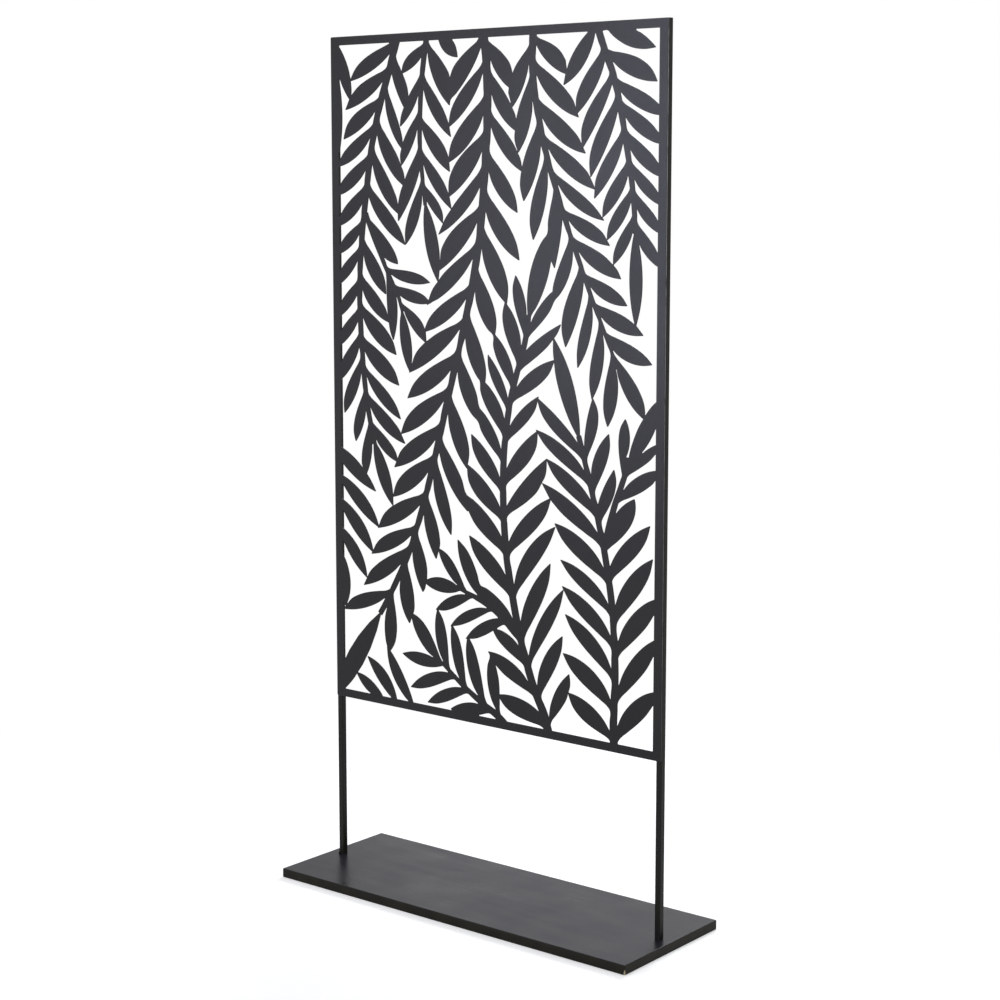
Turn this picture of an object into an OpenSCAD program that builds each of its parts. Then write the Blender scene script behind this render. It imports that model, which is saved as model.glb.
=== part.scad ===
// Free-standing screen: a laser cut steel panel of leafy branches, held by a slim tube frame
// on two posts that are bolted to a folded steel base.
// The origin is on the floor under the middle of the base. +X runs along the panel,
// the cut sheet faces -Y and +Z is up. Sizes are in millimetres.

/* [Base] */
// Length of the base
base_w = 910; // [880:10:1000]
// Depth of the base, front to back
base_d = 320; // [260:10:400]
// Height of the base's top above the floor
base_h = 20; // [20:1:30]
// Thickness of the folded base sheet
base_t = 3; // [2:0.5:3]
// Outer radius of the base's folded edges
base_edge_r = 3; // [2.5:0.5:4]
// Gap between the folded skirt and the floor
skirt_gap = 1; // [0.5:0.5:2]

/* [Frame] */
// Height of the whole screen
screen_h = 1800; // [1700:10:1900]
// Side of the square tube
tube = 12.7; // [12:0.1:16]
// Wall of the square tube
tube_wall = 1.5; // [1:0.5:2]
// Outer radius of the tube's long edges
tube_edge_r = 2; // [1:0.5:3]

/* [Panel] */
// Width of the leaf panel
panel_w = 860; // [820:10:870]
// Height of the leaf panel
panel_h = 1420; // [1360:10:1480]
// Thickness of the cut sheet
sheet_t = 2; // [1.5:0.5:3]
// Plain border at the sides of the cutting
side_border = 20; // [18:1:24]
// Plain border at the top and bottom of the cutting
end_border = 18; // [16:1:22]
// Radius of the sheet's outer corners
sheet_corner_r = 3; // [1:1:5]
// Half the width of the narrowest slot that the cutting leaves open
cut_r = 1; // [0.6:0.2:1.4]
// Width of a leaf's blunt tip
tip_w = 2; // [1:0.5:3]

/* [Fixings] */
// Diameter of the bolts that hold the posts
bolt_d = 6; // [5:1:6]
// Width across the flats of a bolt head
bolt_flats = 10; // [8:1:11]
// Width of the bar under each post
bar_w = 50; // [30:5:50]
// Thickness of the bar under each post
bar_t = 5; // [4:1:6]
// Diameter of a rubber foot
foot_d = 30; // [24:1:36]
// Distance of the feet from the base's edges
foot_inset = 35; // [30:1:50]

/* [Hidden] */
sheet_grey = [0.22, 0.22, 0.24];
tube_grey = [0.17, 0.17, 0.17];
base_grey = [0.33, 0.33, 0.33];
zinc = [0.72, 0.73, 0.75];
rubber_black = [0.06, 0.06, 0.06];
$fn = 48;
overcut = 1;

// Places worked out from the sizes above
bore = tube - 2 * tube_wall;
bore_edge_r = max(tube_edge_r - tube_wall, 0.3);
panel_z = screen_h - panel_h;
post_x = (panel_w - tube) / 2;
plate_z = base_h - base_t;
bar_z = plate_z - bar_t;
bar_side_gap = 2;
bar_x = min(post_x, base_w / 2 - base_t - bar_w / 2 - bar_side_gap);
bar_foot_gap = 5;
bar_len = base_d - 2 * foot_inset - foot_d - 2 * bar_foot_gap;
bolt_hole_d = bolt_d + 1;
plug_h = 30;
fit_gap = 0.05;
washer_t = 1.6;
washer_d = 2 * bolt_d;
spring_t = 1.5;
spring_d = 1.75 * bolt_d;
spring_split = 1.2;
head_h = 0.66 * bolt_d;
head_z = bar_z - washer_t - spring_t - head_h;
bolt_reach = 22;
stud_d = 5;
stud_len = 10;
foot_cols = [foot_inset - base_w / 2, 0, base_w / 2 - foot_inset];
foot_rows = [foot_inset - base_d / 2, base_d / 2 - foot_inset];

// The drawing of the branches: sideways places count from the panel's middle and heights
// from the floor, on a screen 1800 high with a panel 860 x 1420
art_w = 860;
art_h = 1420;
art_z = 380;
tip_steps = 5;
back_steps = 6;
stem_steps = 3;

// ---- plane geometry of the ornament ----
function unit(v) = v / norm(v);
function left_of(v) = [-v[1], v[0]];
function bezier(a, b, c, d, t) =
    pow(1 - t, 3) * a + 3 * t * pow(1 - t, 2) * b + 3 * t * t * (1 - t) * c + pow(t, 3) * d;
function bow(a, b, c, d, steps) = [for (i = [0:steps]) bezier(a, b, c, d, i / steps)];
function backwards(list) = [for (i = [len(list) - 1:-1:0]) list[i]];

// A leaf's edge whose last point, the tip, gives way to a shoulder beside and short of it
function blunted(edge, last, n) =
    let (u = unit(edge[last] - edge[last - 1]))
    [for (i = [0:last]) i < last ? edge[i] : edge[last] + tip_w / 2 * (n - u) * 0.7];

// A smooth line through the points of a stem, straightened on at both ends
function spine_at(p, i) =
    i < 0 ? 2 * p[0] - p[1] :
    i >= len(p) ? 2 * p[len(p) - 1] - p[len(p) - 2] : p[i];
function spine_span(p, i, t) =
    bezier(p[i], p[i] + (p[i + 1] - spine_at(p, i - 1)) / 6,
           p[i + 1] - (spine_at(p, i + 2) - p[i]) / 6, p[i + 1], t);
function smooth(p) =
    concat([for (i = [0:len(p) - 2], k = [0:stem_steps - 1]) spine_span(p, i, k / stem_steps)],
           [p[len(p) - 1]]);

// Where a stem's middle line is at a height (axis 1) or at a sideways place (axis 0)
function stem_at(line, v, axis) =
    let (other = lookup(v, [for (p = line) [p[axis], p[1 - axis]]]))
    axis == 1 ? [other, v] : [v, other];
function stem_half(line, v, axis, width) =
    let (last = len(line) - 1)
    lookup(v, [[line[0][axis], width[0]], [line[last][axis], width[1]]]) / 2;

// The tapering stem of a branch
module stem(line, width) {
    last = len(line) - 1;
    side = [for (i = [0:last]) left_of(unit(line[min(i + 1, last)] - line[max(i - 1, 0)]))];
    half = [for (i = [0:last]) (width[0] + (width[1] - width[0]) * i / last) / 2];
    polygon(concat([for (i = [0:last]) line[i] + side[i] * half[i]],
                   backwards([for (i = [0:last]) line[i] - side[i] * half[i]])));
}

// One leaf. Its inner edge runs from the crotch to the tip, and its outer edge swings out
// of the stem at merge, along the way the branch grows. The bellies are shares of its length.
module leaf(crotch, tip, merge, root, root_back, grow, inner, outer) {
    length = norm(tip - crotch);
    u = (tip - crotch) / length;
    n = left_of(u) * (left_of(u) * grow > 0 ? 1 : -1);
    inner_edge = bow(crotch, crotch + length * (0.30 * u + 1.33 * inner * n),
                     crotch + length * (0.72 * u + 1.33 * inner * n), tip, tip_steps);
    outer_edge = bow(merge, merge + 0.11 * length * grow,
                     crotch + length * (0.64 * u - 1.95 * outer * n), tip, back_steps);
    polygon(concat([root], blunted(inner_edge, tip_steps, n), [tip],
                   backwards(blunted(outer_edge, back_steps, -n)), [root_back]));
}

// The leaves along one side of a stem, each [crotch, tip x, tip z, neck, inner, outer]:
// the crotch's place along the stem, the tip, the neck's length and the bellies in hundredths
module leaves(line, list, side, axis, width) {
    forward = sign(line[len(line) - 1][axis] - line[0][axis]);
    for (l = list) {
        root = stem_at(line, l[0], axis);
        root_back = stem_at(line, l[0] - forward * l[3], axis);
        ahead = stem_at(line, l[0] + forward * 5, axis);
        behind = stem_at(line, l[0] - forward * 5, axis);
        grow = unit(ahead - behind);
        reach = 0.9 * side * stem_half(line, l[0], axis, width) / abs(grow[axis]);
        out = axis == 1 ? [reach, 0] : [0, reach];
        leaf(root + out, [l[1], l[2]], root_back + out, root, root_back, grow,
             l[4] / 100, l[5] / 100);
    }
}

// A leaf on its own line, from root to tip, with its middle bent aside
module lone_leaf(root, tip, wide, bend = 0) {
    u = tip - root;
    n = left_of(unit(u));
    left_edge = bow(root, root + 0.36 * u + n * (bend + 0.67 * wide),
                    root + 0.72 * u + n * (bend + 0.67 * wide), tip, back_steps);
    right_edge = bow(root, root + 0.36 * u + n * (bend - 0.67 * wide),
                     root + 0.72 * u + n * (bend - 0.67 * wide), tip, back_steps);
    polygon(concat(blunted(left_edge, back_steps, n), [tip],
                   backwards(blunted(right_edge, back_steps, -n))));
}

// A whole branch: stem, the leaves on both sides and the leaf at its end.
// On a branch that runs sideways (axis 0) left means below and right means above.
module branch(spine, width, left = [], right = [], axis = 1, end = [], end_bend = 0) {
    line = smooth(spine);
    last = len(line) - 1;
    stem(line, width);
    leaves(line, left, -1, axis, width);
    leaves(line, right, 1, axis, width);
    if (len(end) > 0) {
        start = line[last] - unit(line[last] - line[last - 1]) * 1.1 * width[1];
        lone_leaf(start, [end[0], end[1]], end[2], end_bend);
    }
}

// Hangs down the left side
module branch_a() {
    branch([[-243, 1790], [-268, 1720], [-294, 1650], [-318, 1560], [-333, 1470], [-346, 1380],
            [-353, 1290], [-352, 1210], [-346, 1120], [-336, 1040], [-322, 975], [-314, 945]],
        width = [18, 12],
        left = [[1761, -376, 1707, 27, 7, 18], [1706, -389, 1648, 27, 8, 20],
                [1646, -395, 1587, 27, 8, 24], [1592, -414, 1529, 27, 11, 15],
                [1524, -417, 1468, 32, 10, 18], [1454, -417, 1403, 38, 10, 20],
                [1390, -417, 1344, 27, 10, 20], [1335, -419, 1277, 27, 8, 21],
                [1261, -419, 1208, 32, 7, 22], [1206, -419, 1146, 27, 8, 21],
                [1153, -417, 1072, 27, 9, 19], [1101, -400, 1006, 27, 9, 18],
                [1021, -368, 947, 36, 8, 23], [954, -340, 875, 36, 8, 24]],
        right = [[1721, -217, 1638, 34, 5, 23], [1673, -228, 1561, 20, 10, 9],
                 [1598, -222, 1486, 27, 11, 13], [1538, -240, 1430, 30, 11, 12],
                 [1468, -224, 1368, 27, 10, 12], [1350, -279, 1264, 30, 12, 18],
                 [1275, -270, 1205, 30, 12, 16], [1216, -251, 1138, 27, 12, 18],
                 [1144, -244, 1074, 31, 11, 19], [1092, -240, 1003, 20, 10, 13],
                 [1027, -228, 952, 27, 11, 13], [960, -247, 911, 33, 10, 19]],
        end = [-263, 817, 33], end_bend = -1);
}

// Short branch left of the middle
module branch_b() {
    branch([[-163, 1790], [-172, 1740], [-179, 1685], [-183, 1610], [-182, 1560], [-176, 1505],
            [-169, 1450]],
        width = [14, 9],
        left = [[1751, -232, 1718, 27, 8, 29], [1678, -236, 1611, 38, 8, 17],
                [1611, -234, 1531, 30, 7, 21], [1524, -243, 1417, 45, 5, 18],
                [1483, -223, 1369, 20, 11, 13]],
        right = [[1764, -103, 1651, 17, 10, 24], [1688, -100, 1588, 27, 10, 13],
                 [1608, -103, 1518, 22, 10, 20], [1538, -99, 1443, 27, 8, 15],
                 [1461, -122, 1414, 32, 4, 27]],
        end = [-135, 1294, 34]);
}

// The longest branch, from the top down to the lower left corner
module branch_c() {
    branch([[-15, 1790], [-7, 1740], [-4, 1650], [-9, 1545], [-22, 1410], [-43, 1295], [-71, 1187],
            [-108, 1062], [-142, 942], [-177, 830], [-216, 728], [-250, 663], [-284, 606], [-302, 579]],
        width = [21, 13],
        left = [[1765, -105, 1658, 20, 6, 26], [1716, -106, 1607, 20, 9, 16],
                [1633, -107, 1536, 36, 10, 19], [1562, -106, 1467, 36, 8, 25],
                [1490, -133, 1391, 39, 8, 10], [1420, -131, 1318, 31, 7, 24],
                [1347, -165, 1246, 30, 8, 14], [1265, -175, 1189, 27, 9, 16],
                [1203, -215, 1103, 20, 7, 18], [1117, -220, 1049, 37, 9, 18],
                [1053, -239, 972, 27, 9, 19], [970, -258, 900, 34, 9, 19],
                [901, -263, 836, 35, 9, 23], [828, -306, 765, 27, 8, 20],
                [761, -325, 707, 22, 8, 19], [699, -348, 636, 37, 8, 18],
                [617, -408, 576, 20, 8, 17]],
        right = [[1743, 56, 1679, 35, 9, 36], [1675, 70, 1596, 43, 10, 20],
                 [1610, 85, 1517, 29, 10, 15], [1521, 72, 1437, 38, 11, 18],
                 [1442, 77, 1343, 39, 11, 16], [1369, 45, 1255, 40, 10, 21],
                 [1284, 14, 1188, 40, 12, 22], [1187, -12, 1086, 44, 11, 19],
                 [1117, -25, 1010, 32, 12, 16], [1029, -59, 914, 34, 10, 20],
                 [944, -57, 825, 29, 9, 15], [891, -102, 771, 36, 10, 13],
                 [811, -143, 716, 36, 8, 24], [728, -180, 641, 38, 8, 27],
                 [663, -218, 569, 36, 12, 24], [602, -277, 496, 27, 10, 22]]);
    lone_leaf([-297, 586], [-440, 372], 47, -1);
}

// From the top, curving out to the right
module branch_d() {
    branch([[111, 1790], [109, 1730], [116, 1665], [139, 1567], [166, 1490], [197, 1410],
            [229, 1336], [260, 1265], [286, 1211], [319, 1140]],
        width = [18, 7],
        left = [[1741, 59, 1644, 24, 9, 28], [1666, 74, 1555, 40, 10, 21],
                [1573, 88, 1460, 40, 8, 22], [1523, 112, 1384, 24, 8, 16],
                [1428, 165, 1330, 57, 3, 26], [1367, 160, 1262, 24, 12, 12],
                [1307, 193, 1176, 28, 6, 20], [1262, 223, 1137, 20, 10, 10],
                [1210, 258, 1077, 20, 10, 12], [1146, 296, 1026, 23, 12, 15]],
        right = [[1764, 194, 1703, 17, 10, 28], [1708, 222, 1621, 27, 11, 16],
                 [1625, 239, 1552, 36, 11, 15], [1567, 263, 1483, 23, 10, 14],
                 [1498, 284, 1424, 23, 11, 9], [1426, 298, 1376, 20, 10, 17],
                 [1367, 325, 1313, 26, 11, 17], [1299, 340, 1262, 24, 12, 17],
                 [1241, 378, 1207, 26, 12, 16], [1178, 399, 1152, 33, 13, 16],
                 [1160, 385, 1044, 10, 12, 14]]);
}

// Hangs down the right side
module branch_e() {
    branch([[266, 1790], [282, 1749], [304, 1698], [322, 1633], [336, 1565], [347, 1508],
            [354, 1455], [358, 1400]],
        width = [16, 11],
        left = [[1727, 216, 1626, 22, 8, 19], [1683, 231, 1561, 20, 4, 19],
                [1633, 252, 1507, 27, 5, 18], [1573, 261, 1466, 24, 8, 16],
                [1512, 281, 1430, 26, 9, 18], [1462, 292, 1387, 24, 9, 18],
                [1406, 307, 1340, 29, 9, 19]],
        right = [[1726, 405, 1684, 23, 10, 23], [1668, 427, 1620, 27, 10, 15],
                 [1621, 422, 1566, 31, 10, 17], [1561, 424, 1504, 36, 10, 17],
                 [1505, 424, 1451, 32, 10, 15], [1449, 422, 1398, 33, 10, 16],
                 [1389, 420, 1334, 34, 10, 18]],
        end = [360, 1222, 30], end_bend = 2);
}

// Rises on the right
module branch_f() {
    branch([[317, 390], [315, 440], [318, 530], [313, 643], [297, 747], [275, 840], [249, 930],
            [226, 1003]],
        width = [19, 12],
        left = [[420, 203, 483, 20, 12, 20], [483, 190, 562, 22, 14, 13],
                [545, 195, 642, 22, 12, 11], [611, 187, 698, 24, 11, 11],
                [674, 183, 751, 22, 11, 10], [744, 168, 823, 29, 11, 14],
                [813, 136, 901, 27, 8, 13], [876, 146, 951, 32, 8, 14],
                [933, 120, 1007, 29, 9, 11], [987, 122, 1072, 32, 4, 17]],
        right = [[431, 420, 519, 31, 13, 15], [512, 418, 623, 32, 10, 15],
                 [601, 422, 704, 31, 12, 14], [673, 405, 777, 36, 11, 15],
                 [750, 398, 841, 29, 10, 16], [869, 312, 943, 33, 5, 25],
                 [925, 299, 1012, 32, 11, 18], [978, 260, 1079, 22, 5, 23]],
        end = [163, 1193, 37]);
}

// Rises through the middle
module branch_g() {
    branch([[155, 388], [144, 425], [113, 487], [82, 575], [62, 655], [45, 745], [37, 840],
            [37, 930], [43, 995], [55, 1062], [72, 1120], [90, 1175], [98, 1212], [101, 1235]],
        width = [20, 12],
        left = [[431, 21, 451, 32, 10, 21], [487, -3, 538, 27, 12, 16], [559, 8, 588, 38, 12, 20],
                [612, -30, 676, 27, 10, 18], [700, -53, 775, 41, 8, 20], [779, -63, 861, 35, 7, 23],
                [839, -59, 923, 27, 8, 24], [899, -47, 986, 27, 8, 20], [957, -34, 1048, 23, 8, 19],
                [1020, -25, 1104, 34, 10, 19], [1063, -3, 1151, 22, 7, 16],
                [1113, 11, 1196, 26, 9, 19], [1169, 41, 1259, 34, 10, 23],
                [1236, 68, 1313, 44, 8, 23]],
        right = [[421, 205, 521, 12, 11, 18], [483, 188, 596, 22, 12, 13], [541, 190, 691, 20, 9, 9],
                 [609, 157, 740, 36, 9, 13], [683, 169, 816, 24, 13, 8], [771, 158, 873, 28, 9, 15],
                 [844, 147, 951, 23, 5, 22], [920, 124, 1005, 34, 7, 23],
                 [1007, 126, 1074, 31, 7, 18], [1086, 166, 1149, 30, 9, 18],
                 [1163, 181, 1220, 43, 4, 16], [1216, 172, 1292, 29, 7, 17]],
        end = [158, 1408, 44], end_bend = 3);
}

// Side branch of the middle one, running left
module branch_h() {
    branch([[80, 580], [45, 608], [15, 628], [-15, 641], [-35, 647], [-58, 654], [-78, 659]],
        width = [22, 6], axis = 0,
        left = [[26, -63, 557, 18, 10, 13], [-1, -104, 578, 12, 13, 8], [-59, -144, 608, 18, 12, 14]],
        right = [[-28, -84, 763, 20, 12, 14], [-76, -138, 740, 18, 10, 17]],
        end = [-178, 664, 31], end_bend = -2);
}

// From the bottom border, running left
module branch_i() {
    branch([[46, 388], [20, 407], [-5, 419], [-28, 431], [-56, 447], [-80, 462], [-105, 480],
            [-128, 496]],
        width = [18, 8], axis = 0,
        left = [[-26, -104, 401, 30, 10, 22], [-73, -168, 405, 18, 11, 13], [-109, -215, 431, 18, 12, 12]],
        right = [[19, 2, 532, 12, 13, 14], [-28, -58, 564, 22, 12, 11], [-79, -101, 582, 20, 9, 14],
                 [-123, -140, 610, 18, 12, 14], [-142, -214, 593, 18, 13, 17]],
        end = [-238, 501, 28], end_bend = 1);
}

// Side branch of the right one, running up to the right border
module branch_k() {
    branch([[291, 788], [301, 830], [308, 853], [316, 878], [326, 903], [337, 932], [346, 958]],
        width = [15, 12],
        left = [[970, 338, 1044, 38, 13, 22]],
        right = [[853, 361, 890, 70, 8, 49], [901, 420, 951, 24, 11, 18], [950, 422, 1004, 20, 8, 15]],
        end = [427, 1096, 35]);
}

// Side branch of the left one
module branch_m() {
    branch([[-334, 1432], [-313, 1385], [-291, 1343], [-271, 1306], [-246, 1265], [-233, 1229]],
        width = [13, 8],
        left = [[1267, -259, 1169, 45, 8, 14]],
        right = [[1343, -245, 1328, 78, 8, 43], [1307, -157, 1292, 15, 10, 13],
                 [1263, -155, 1250, 23, 10, 17], [1240, -168, 1167, 10, 9, 23]],
        end = [-213, 1104, 29]);
}

// Leaves that start under the border
module border_leaves() {
    lone_leaf([-420, 1796], [-374, 1665], 30, 2);
    lone_leaf([-409, 1722], [-408, 1560], 19);
    lone_leaf([-136, 1800], [-82, 1746], 31);
    lone_leaf([264, 1796], [186, 1683], 34, 2);
    lone_leaf([278, 1796], [401, 1747], 34, -3);
    lone_leaf([-450, 945], [-312, 843], 34, 2);
    lone_leaf([-424, 876], [-303, 766], 33, 5);
    lone_leaf([-424, 825], [-320, 710], 33, 5);
    lone_leaf([-424, 763], [-339, 653], 31, 5);
    lone_leaf([-414, 705], [-402, 583], 38);
    lone_leaf([-287, 385], [-372, 440], 26);
    lone_leaf([-252, 386], [-339, 480], 30, -7);
    lone_leaf([-204, 386], [-282, 510], 28, 8);
}

// The part of the panel that is cut away around the leaves, and what stays
module leaf_pattern() {
    difference() {
        hull() {
            for (x = [-1, 1], z = [0, 1]) {
                translate([x * (panel_w / 2 - sheet_corner_r),
                           z * (panel_h - 2 * sheet_corner_r) + sheet_corner_r])
                    circle(sheet_corner_r, $fn = 24);
            }
        }
        difference() {
            translate([side_border - panel_w / 2, end_border])
                square([panel_w - 2 * side_border, panel_h - 2 * end_border]);
            scale([panel_w / art_w, panel_h / art_h]) {
                translate([0, -art_z]) {
                    branch_a();
                    branch_b();
                    branch_c();
                    branch_d();
                    branch_e();
                    branch_f();
                    branch_g();
                    branch_h();
                    branch_i();
                    branch_k();
                    branch_m();
                    border_leaves();
                }
            }
        }
    }
}

// ---- the pieces ----

// Laser cut sheet with its face at the front; the beam leaves narrow inner corners blunt
module leaf_panel() {
    color(sheet_grey)
        translate([0, -tube / 2, panel_z])
            rotate([90, 0, 0])
                linear_extrude(sheet_t)
                    offset(delta = -cut_r, chamfer = true)
                        offset(delta = cut_r)
                            leaf_pattern();
}

// Square bar with round long edges that runs up from the origin
module square_bar(side, edge_r, length) {
    flat = side - 2 * edge_r;
    linear_extrude(length) {
        square([side, flat], center = true);
        square([flat, side], center = true);
        for (x = [-1, 1], y = [-1, 1]) {
            translate([x * flat / 2, y * flat / 2])
                circle(edge_r);
        }
    }
}

// Square tube that runs up from the origin
module square_tube(length) {
    difference() {
        square_bar(tube, tube_edge_r, length);
        translate([0, 0, -overcut])
            square_bar(bore, bore_edge_r, length + 2 * overcut);
    }
}

// What the saw takes off at the frame's top right corner, at 45 degrees:
// the upper half off the post, or the lower half off the rail
module mitre_waste(upper) {
    far = tube + overcut;
    corner = upper ? [-overcut, far] : [far, -overcut];
    translate([panel_w / 2 - tube, 0, screen_h - tube])
        rotate([90, 0, 0])
            linear_extrude(far + overcut, center = true)
                polygon([[-overcut, -overcut], [far, far], corner]);
}

module post_right() {
    color(tube_grey)
        difference() {
            translate([post_x, 0, base_h])
                square_tube(screen_h - base_h);
            mitre_waste(upper = true);
        }
}

module post_left() {
    mirror([1, 0, 0])
        post_right();
}

// Rail behind the panel's top border, mitred into both posts
module top_rail() {
    color(tube_grey)
        difference() {
            translate([-panel_w / 2, 0, screen_h - tube / 2])
                rotate([0, 90, 0])
                    square_tube(panel_w);
            mitre_waste(upper = false);
            mirror([1, 0, 0])
                mitre_waste(upper = false);
        }
}

// Rail behind the panel's bottom border, butted between the posts
module bottom_rail() {
    color(tube_grey)
        translate([tube - panel_w / 2, 0, panel_z + tube / 2])
            rotate([0, 90, 0])
                square_tube(panel_w - 2 * tube);
}

// Holes for the two bolts
module bolt_holes(z, height) {
    for (side = [-1, 1]) {
        translate([side * post_x, 0, z - overcut])
            cylinder(d = bolt_hole_d, h = height + 2 * overcut);
    }
}

// Sheet folded down on four sides, its corners welded and ground round
module base_pan() {
    color(base_grey)
        difference() {
            hull() {
                for (x = [-1, 1], y = [-1, 1]) {
                    translate([x * (base_w / 2 - base_edge_r), y * (base_d / 2 - base_edge_r), 0]) {
                        translate([0, 0, base_h - base_edge_r])
                            sphere(base_edge_r, $fn = 32);
                        translate([0, 0, skirt_gap])
                            cylinder(r = base_edge_r, h = base_t, $fn = 32);
                    }
                }
            }
            translate([base_t - base_w / 2, base_t - base_d / 2, -overcut])
                cube([base_w - 2 * base_t, base_d - 2 * base_t, plate_z + overcut]);
            bolt_holes(plate_z, base_t);
        }
}

// Flat bar welded under the base's top, which spreads the pull of a post
module stiffener_right() {
    color(tube_grey)
        difference() {
            translate([bar_x - bar_w / 2, -bar_len / 2, bar_z])
                cube([bar_w, bar_len, bar_t]);
            bolt_holes(bar_z, bar_t);
        }
}

module stiffener_left() {
    mirror([1, 0, 0])
        stiffener_right();
}

// Puts a piece on the middle line of each post
module at_both_posts(z) {
    for (side = [-1, 1]) {
        translate([side * post_x, 0, z])
            children();
    }
}

// Tapped block welded into the foot of each post
module post_plugs() {
    color(zinc)
        at_both_posts(base_h)
            difference() {
                square_bar(bore, bore_edge_r, plug_h);
                translate([0, 0, -overcut])
                    cylinder(d = bolt_d, h = plug_h + 2 * overcut);
            }
}

// Flat ring, for the washers
module ring(outer_d, inner_d, height) {
    difference() {
        cylinder(d = outer_d, h = height);
        translate([0, 0, -overcut])
            cylinder(d = inner_d, h = height + 2 * overcut);
    }
}

module flat_washers() {
    color(zinc)
        at_both_posts(bar_z - washer_t)
            ring(washer_d, bolt_d + 0.4, washer_t);
}

// Split ring whose ends stand askew
module spring_washers() {
    color(zinc)
        at_both_posts(bar_z - washer_t - spring_t)
            difference() {
                ring(spring_d, bolt_d + 0.2, spring_t);
                translate([spring_d / 2, 0, spring_t / 2])
                    rotate([25, 0, 0])
                        cube([bolt_d, spring_split, 3 * spring_t], center = true);
            }
}

// Hexagon bolt that comes up through bar, base and plug, with its head's edges turned off
module post_bolts() {
    corner_d = bolt_flats / cos(30);
    head_r = 0.95 * bolt_flats / 2;
    color(zinc)
        at_both_posts(head_z) {
            intersection() {
                cylinder(d = corner_d, h = head_h, $fn = 6);
                rotate_extrude()
                    polygon([[0, 0], [head_r, 0], [corner_d / 2, (corner_d / 2 - head_r) * 0.6],
                             [corner_d / 2, head_h], [0, head_h]]);
            }
            translate([0, 0, head_h / 2])
                cylinder(d = bolt_d - 2 * fit_gap, h = base_h + bolt_reach - head_z - head_h / 2);
        }
}

// Puts a piece at each foot
module at_feet() {
    for (x = foot_cols, y = foot_rows) {
        translate([x, y, 0])
            children();
    }
}

// Stud welded under the base's top
module foot_studs() {
    color(zinc)
        at_feet()
            translate([0, 0, plate_z - stud_len])
                cylinder(d = stud_d, h = stud_len);
}

// Rubber foot screwed onto its stud: a blunt cone with a blind bore from above
module rubber_feet() {
    top_r = foot_d / 2;
    floor_r = 0.88 * top_r;
    edge = 1.2;
    bore_r = stud_d / 2 + fit_gap;
    bore_z = plate_z - stud_len - 1;
    color(rubber_black)
        at_feet()
            rotate_extrude()
                polygon([[0, 0], [floor_r - edge, 0], [floor_r, edge], [top_r, plate_z],
                         [bore_r, plate_z], [bore_r, bore_z], [0, bore_z]]);
}

leaf_panel();
post_left();
post_right();
top_rail();
bottom_rail();
base_pan();
stiffener_left();
stiffener_right();
post_plugs();
post_bolts();
flat_washers();
spring_washers();
foot_studs();
rubber_feet();
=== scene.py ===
import math

import bmesh
import bpy
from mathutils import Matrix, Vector
from mathutils.geometry import tessellate_polygon


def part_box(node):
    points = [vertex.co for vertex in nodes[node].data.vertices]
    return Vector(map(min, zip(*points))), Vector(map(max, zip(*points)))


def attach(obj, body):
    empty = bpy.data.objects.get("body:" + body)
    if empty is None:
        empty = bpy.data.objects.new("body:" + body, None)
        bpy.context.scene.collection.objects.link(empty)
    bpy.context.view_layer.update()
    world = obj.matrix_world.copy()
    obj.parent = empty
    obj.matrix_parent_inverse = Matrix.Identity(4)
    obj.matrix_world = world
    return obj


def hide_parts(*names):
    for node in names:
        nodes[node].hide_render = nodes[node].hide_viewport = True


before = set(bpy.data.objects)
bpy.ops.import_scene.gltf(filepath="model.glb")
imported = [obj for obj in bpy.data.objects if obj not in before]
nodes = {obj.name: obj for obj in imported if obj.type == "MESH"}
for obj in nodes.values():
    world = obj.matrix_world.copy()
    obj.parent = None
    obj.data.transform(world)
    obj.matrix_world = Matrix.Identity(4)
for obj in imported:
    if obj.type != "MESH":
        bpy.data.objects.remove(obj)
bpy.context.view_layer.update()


# ---------------------------------------------------------------- The view
# The screen is seen from its front right, a little above half its height. The lens is shifted
# a little, so that the uprights stay nearly upright.
CAMERA_PLACE = (2.652, -3.274, 1.496)
CAMERA_YAW = 38.774
CAMERA_PITCH = 7.574
LEVEL_GAZE = 90
FOCAL_LENGTH = 75.07
SENSOR_WIDTH = 36
LENS_SHIFT = -0.04


def placed(name, data):
    """A new object of the scene, for this mesh, lamp or camera."""
    thing = bpy.data.objects.new(name, data)
    bpy.context.scene.collection.objects.link(thing)
    return thing


camera_data = bpy.data.cameras.new("camera")
camera_data.sensor_width = SENSOR_WIDTH
camera_data.lens = FOCAL_LENGTH
camera_data.shift_y = LENS_SHIFT
camera = placed("camera", camera_data)
camera.location = CAMERA_PLACE
camera.rotation_euler = (math.radians(LEVEL_GAZE - CAMERA_PITCH), 0, math.radians(CAMERA_YAW))
bpy.context.scene.camera = camera
bpy.context.scene.view_settings.view_transform = "Standard"


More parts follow.
